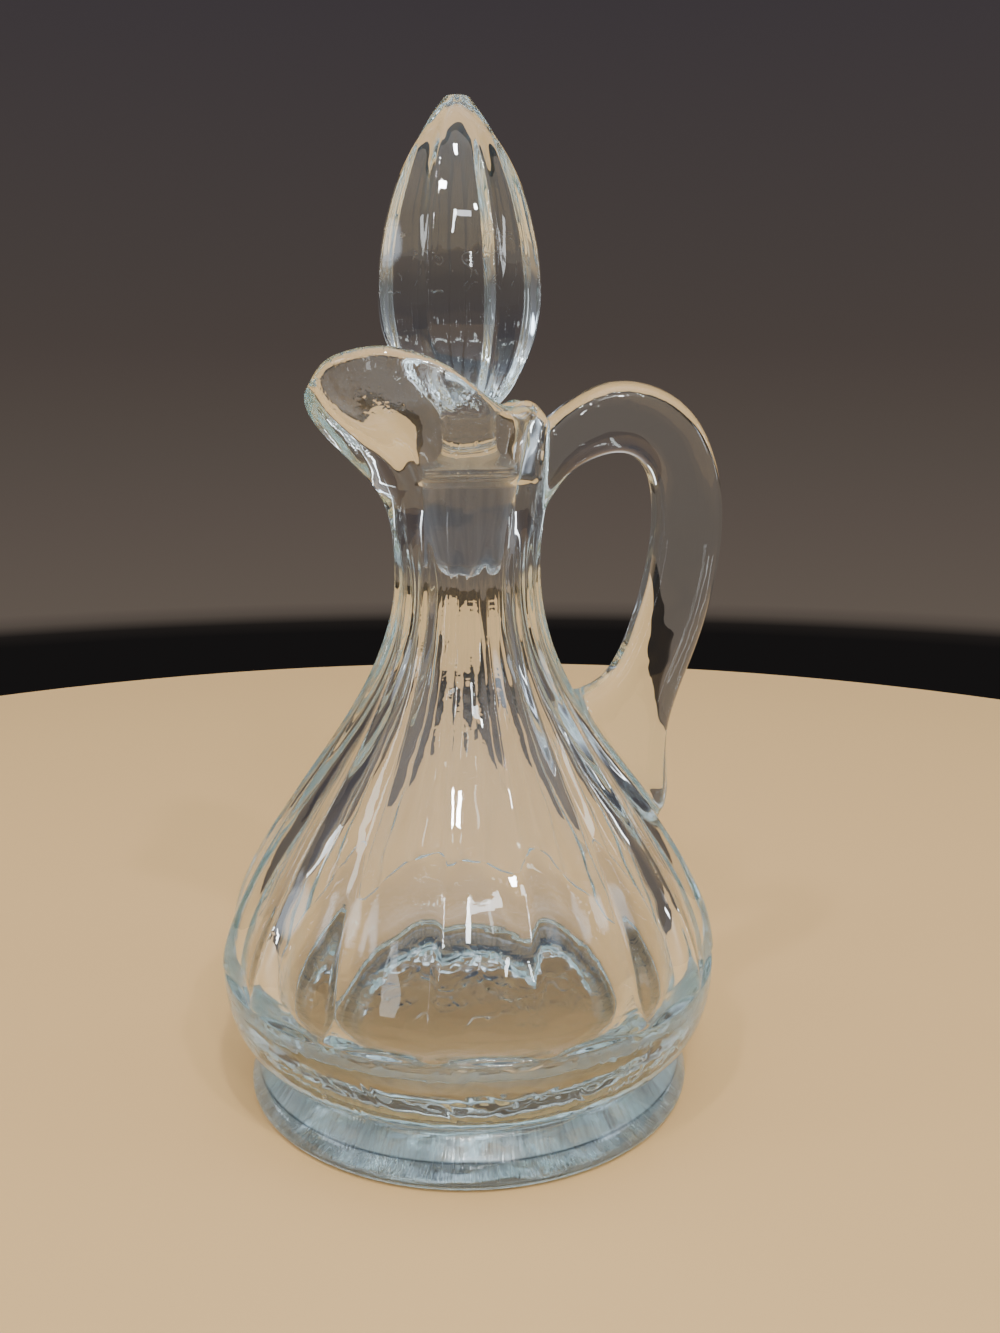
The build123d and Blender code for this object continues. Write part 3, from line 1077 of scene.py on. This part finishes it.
def stopper_finish():
    """Clear above with a few scratches, and a ground zone on the plug with upright marks, made grey with
    painted shade.
    """
    material = glass("stopper_glass")
    ground = ground_area(material)
    scratch = scratches(material, *scratch_levels)
    rough = times(material, ground, ground_roughness)
    rough = plus(material, rough, times(material, scratch, scratch_roughness))
    link(material, rough, shader_of(material).inputs["Roughness"])
    depth = times(material, scratch, scratch_depth)
    raised = minus(material, ripples(material, *stopper_wave), depth)
    low = height_mask(material, *shank_levels, 1.0, 0.0)
    raised = plus(material, raised, times(material, grain(material), low))
    raise_surface(material, raised)
    # Painted shade: the ground zone is coloured dark grey-blue and loses some clearness
    tint_surface(material, ground, ground_shade_colour, plug_frost_shade)
    return material


def make_camera():
    """The camera, standing where the photograph was taken from."""
    data = bpy.data.cameras.new("camera")
    camera = bpy.data.objects.new("camera", data)
    bpy.context.scene.collection.objects.link(camera)
    data.lens = lens
    data.clip_start = 0.01
    camera.location = camera_place
    camera.rotation_euler = (radians(camera_pitch), 0, radians(camera_turn))
    bpy.context.scene.camera = camera


def make_floor():
    """A plain round floor just under the foot."""
    bpy.ops.object.select_all(action="DESELECT")
    bpy.ops.mesh.primitive_circle_add(
        vertices=128, radius=floor_radius_m, fill_type="NGON", location=(0, 0, -floor_gap * mm)
    )
    floor = bpy.context.active_object
    floor.name = "floor"
    floor.data.materials.append(plain("floor_paint", floor_colour, 0.5))
    return floor


def make_screen():
    """A low backdrop round the floor's far side, there for what the glass shows of it."""
    screen = start_ring("screen", 64, floor_radius_m / mm, screen_foot_m / mm)
    pick(screen, lambda number, place: place.y < screen_start_m)
    bpy.ops.mesh.delete(type="VERT")
    bpy.ops.mesh.select_all(action="SELECT")
    bpy.ops.mesh.extrude_edges_move(
        TRANSFORM_OT_translate={"value": (0, 0, screen_top_m - screen_foot_m)}
    )
    bpy.ops.object.mode_set(mode="OBJECT")
    paint = plain("screen_paint", (0, 0, 0), 1.0)
    shader_of(paint).inputs["Emission Color"].default_value = (*screen_colour, 1)
    shader_of(paint).inputs["Emission Strength"].default_value = 1.0
    screen.data.materials.append(paint)
    screen.visible_camera = screen.visible_shadow = screen.visible_diffuse = False
    return screen


def by_elevation(world, height, stops):
    """A colour for each elevation, from a few stops of degrees and colour."""
    fit = add_node(world, "ShaderNodeMapRange")
    fit.inputs["From Min"].default_value = -1
    ramp = add_node(world, "ShaderNodeValToRGB")
    link(world, height, fit.inputs["Value"])
    link(world, fit.outputs["Result"], ramp.inputs["Fac"])
    elements = ramp.color_ramp.elements
    while len(elements) < len(stops):
        elements.new(0.5)
    for element, (elevation, colour) in zip(elements, stops):
        element.position = (sin(radians(elevation)) + 1) / 2
        element.color = (*colour, 1)
    return ramp.outputs["Color"]


def mix_colours(world, share, first, second, blend="MIX"):
    """Mixes a colour with a second one, or adds it, by a share."""
    node = add_node(world, "ShaderNodeMix", data_type="RGBA", blend_type=blend)
    link(world, share, node.inputs[0])
    link(world, first, node.inputs[6])
    if isinstance(second, tuple):
        node.inputs[7].default_value = (*second, 1)
    else:
        link(world, second, node.inputs[7])
    return node.outputs[2]


def make_backdrop():
    """A plain backdrop, darkest at its foot, a paler room in front of it and two soft windows."""
    world = bpy.data.worlds.new("studio")
    bpy.context.scene.world = world
    world.use_nodes = True
    way = add_node(world, "ShaderNodeTexCoord").outputs["Generated"]
    parts = add_node(world, "ShaderNodeSeparateXYZ")
    link(world, way, parts.inputs["Vector"])
    behind = by_elevation(world, parts.outputs["Z"], backdrop)
    before = by_elevation(world, parts.outputs["Z"], room)
    colour = mix_colours(world, fade(world, parts.outputs["Y"], *backdrop_turn), before, behind)
    for direction, full, faded, light in windows:
        toward = add_node(world, "ShaderNodeVectorMath", operation="DOT_PRODUCT")
        toward.inputs[1].default_value = Vector(direction).normalized()
        link(world, way, toward.inputs[0])
        share = fade(world, toward.outputs["Value"], cos(radians(faded)), cos(radians(full)))
        colour = mix_colours(world, share, colour, light, "ADD")
    link(world, colour, world.node_tree.nodes["Background"].inputs["Color"])


def make_lamps():
    """Small soft lamps whose reflections are the glass's highlights."""
    for number, (place, (width, length), power) in enumerate(lamps):
        data = bpy.data.lights.new(f"lamp_{number}", "AREA")
        data.energy = power
        data.shape = "RECTANGLE"
        data.size = width
        data.size_y = length
        data.color = lamp_colour
        lamp = bpy.data.objects.new(data.name, data)
        bpy.context.scene.collection.objects.link(lamp)
        lamp.location = place
        lamp.visible_camera = False
        lamp.rotation_euler = (lamp_aim - Vector(place)).to_track_quat("-Z", "Y").to_euler()


def allow_bounces():
    """Thick glass needs many bounces of light, or its edges turn black."""
    cycles = bpy.context.scene.cycles
    cycles.max_bounces = cycles.transmission_bounces = cycles.glossy_bounces = light_bounces


make_camera()
cruet = make_bottle()
fuse(cruet, make_handle())
cruet.data.materials.append(bottle_finish())
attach(cruet, "vessel")
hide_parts("bottle", "handle")
stopper = make_stopper()
stopper.data.materials.append(stopper_finish())
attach(stopper, "stopper")
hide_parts("stopper")
floor = make_floor()
make_screen()
make_backdrop()
make_lamps()
allow_bounces()
